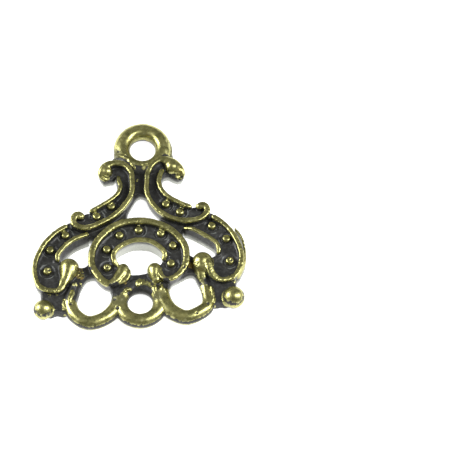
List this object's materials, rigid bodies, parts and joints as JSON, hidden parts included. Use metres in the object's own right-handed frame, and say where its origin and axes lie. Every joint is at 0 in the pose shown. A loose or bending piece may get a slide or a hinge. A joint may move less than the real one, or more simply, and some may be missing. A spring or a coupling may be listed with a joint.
{
  "type": "chandelier connector",
  "caption": "Cast openwork jewellery link: a hanging ring over beaded scrolls and wings, with round and triangular loops below for drops.",
  "frame": {"origin": "on the flat back plane, in the middle of the casting's outline", "axes": "+Z out of the ornamented face, +Y towards the hanging ring, +X to the right as the face is seen"},
  "size_m": [0.0226, 0.0243, 0.0025],
  "materials": {
    "antique_brass": "antiqued brass, dark in the recesses and rubbed bright on the raised parts"
  },
  "bodies": {
    "root": {"casting": "antique_brass"}
  },
  "joints": []
}
